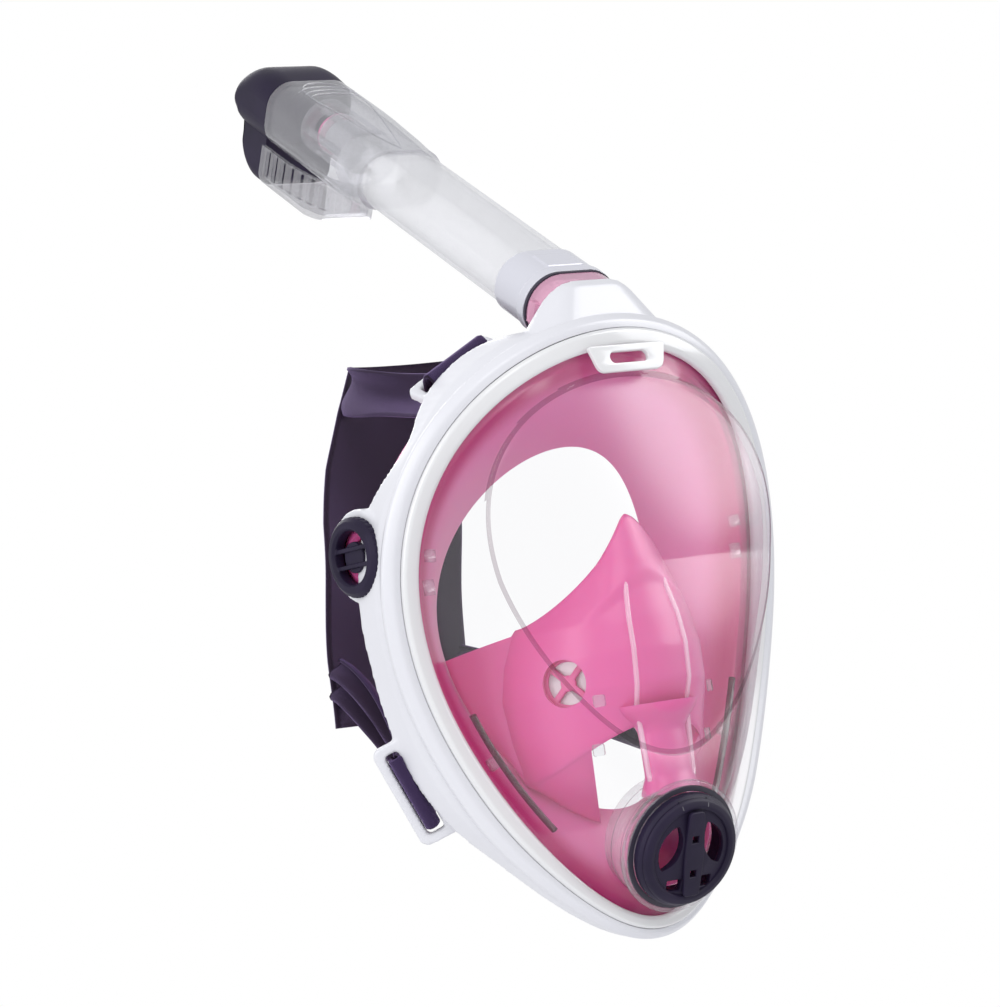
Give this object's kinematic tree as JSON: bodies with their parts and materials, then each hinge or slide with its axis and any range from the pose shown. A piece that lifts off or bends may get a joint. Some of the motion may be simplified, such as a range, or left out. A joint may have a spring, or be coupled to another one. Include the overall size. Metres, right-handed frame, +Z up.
{
  "type": "full face snorkel",
  "caption": "Full face snorkel: clear domed lens in a white frame with pink silicone skirt and nose pocket, chin and side drain valves, lift-off dry-top tube and a dark elastic head strap.",
  "frame": {"origin": "middle of the lens rim, in the plane of its widest part, where the wearer's face seats the mask", "axes": "+X to the wearer's left, +Y back toward the wearer's head, +Z up along the face to the brow"},
  "size_m": [0.2078, 0.2718, 0.4243],
  "materials": {
    "shell_white": "satin",
    "bezel_white": "gloss",
    "lens_clear": "clear polycarbonate, gloss",
    "silicone_pink": "soft silicone, satin",
    "valve_pink": "thin silicone",
    "housing_clear": "clear polycarbonate",
    "cap_aubergine": "fine matte",
    "collar_grey": "satin",
    "connector_pink": "translucent",
    "seal_dark": "matte",
    "tube_clear": "milky clear",
    "float_white": "fine",
    "strap_aubergine": "woven elastic"
  },
  "bodies": {
    "mask": {"frame": "shell_white", "bezel": "bezel_white", "lens": "lens_clear", "face_skirt": "silicone_pink", "oronasal_pocket": "silicone_pink", "pocket_clips": "lens_clear", "check_valve_seat_left": "silicone_pink", "check_valve_seat_right": "silicone_pink", "chin_valve_housing": "housing_clear", "chin_valve_seat": "valve_pink", "chin_valve_seal": "seal_dark", "side_valve_seat_left": "valve_pink", "side_valve_seat_right": "valve_pink", "strap_back_panel": "strap_aubergine", "strap_tail_top_left": "strap_aubergine", "strap_tail_top_right": "strap_aubergine", "strap_tail_bottom_left": "strap_aubergine", "strap_tail_bottom_right": "strap_aubergine"},
    "snorkel": {"snorkel_connector": "connector_pink", "connector_seal": "seal_dark", "tube_collar": "collar_grey", "snorkel_tube": "tube_clear", "tube_divider": "tube_clear", "dry_top_housing": "housing_clear", "dry_top_cap": "cap_aubergine", "intake_grille": "housing_clear", "float_seat": "housing_clear"},
    "float": {"float": "float_white", "float_seal": "silicone_pink"},
    "latch_left": {"release_latch_left": "connector_pink"},
    "latch_right": {"release_latch_right": "connector_pink"},
    "chin_cover": {"chin_valve_cover": "cap_aubergine"},
    "side_cover_left": {"side_valve_cover_left": "cap_aubergine"},
    "side_cover_right": {"side_valve_cover_right": "cap_aubergine"},
    "chin_flap": {"chin_valve_flap": "valve_pink"},
    "side_flap_left": {"side_valve_flap_left": "valve_pink"},
    "side_flap_right": {"side_valve_flap_right": "valve_pink"},
    "check_flap_left": {"check_valve_flap_left": "silicone_pink"},
    "check_flap_right": {"check_valve_flap_right": "silicone_pink"}
  },
  "joints": [
    {"name": "snorkel_release", "type": "slide", "parent": "mask", "child": "snorkel", "axis": [0, 0.8339, 0.5519], "range_m": [0, 0.03]},
    {"name": "float_travel", "type": "slide", "parent": "snorkel", "child": "float", "axis": [0, 0.8339, 0.5519], "range_m": [0, 0.007]},
    {"name": "latch_press_left", "type": "slide", "parent": "snorkel", "child": "latch_left", "axis": [-1, 0, 0], "range_m": [0, 0.001], "stiffness_N_per_m": 1500},
    {"name": "latch_press_right", "type": "slide", "parent": "snorkel", "child": "latch_right", "axis": [1, 0, 0], "range_m": [0, 0.001], "stiffness_N_per_m": 1500},
    {"name": "chin_cover_twist", "type": "hinge", "parent": "mask", "child": "chin_cover", "pos_m": [0, -0.0165, -0.091], "axis": [0, -0.9205, -0.3907], "range_deg": [0, 30]},
    {"name": "side_cover_twist_left", "type": "hinge", "parent": "mask", "child": "side_cover_left", "pos_m": [0.097, 0.0445, 0.0485], "axis": [0.9945, -0.1045, 0], "range_deg": [0, 30]},
    {"name": "side_cover_twist_right", "type": "hinge", "parent": "mask", "child": "side_cover_right", "pos_m": [-0.097, 0.0445, 0.0485], "axis": [-0.9945, -0.1045, 0], "range_deg": [0, 30]},
    {"name": "chin_flap_lift", "type": "slide", "parent": "mask", "child": "chin_flap", "axis": [0, -0.9205, -0.3907], "range_m": [0, 0.0015], "stiffness_N_per_m": 40},
    {"name": "side_flap_lift_left", "type": "slide", "parent": "mask", "child": "side_flap_left", "axis": [0.9945, -0.1045, 0], "range_m": [0, 0.0015], "stiffness_N_per_m": 40},
    {"name": "side_flap_lift_right", "type": "slide", "parent": "mask", "child": "side_flap_right", "axis": [-0.9945, -0.1045, 0], "range_m": [0, 0.0015], "stiffness_N_per_m": 40},
    {"name": "check_flap_lift_left", "type": "slide", "parent": "mask", "child": "check_flap_left", "axis": [-0.788, 0.6157, 0], "range_m": [0, 0.0015], "stiffness_N_per_m": 40},
    {"name": "check_flap_lift_right", "type": "slide", "parent": "mask", "child": "check_flap_right", "axis": [0.788, 0.6157, 0], "range_m": [0, 0.0015], "stiffness_N_per_m": 40}
  ]
}
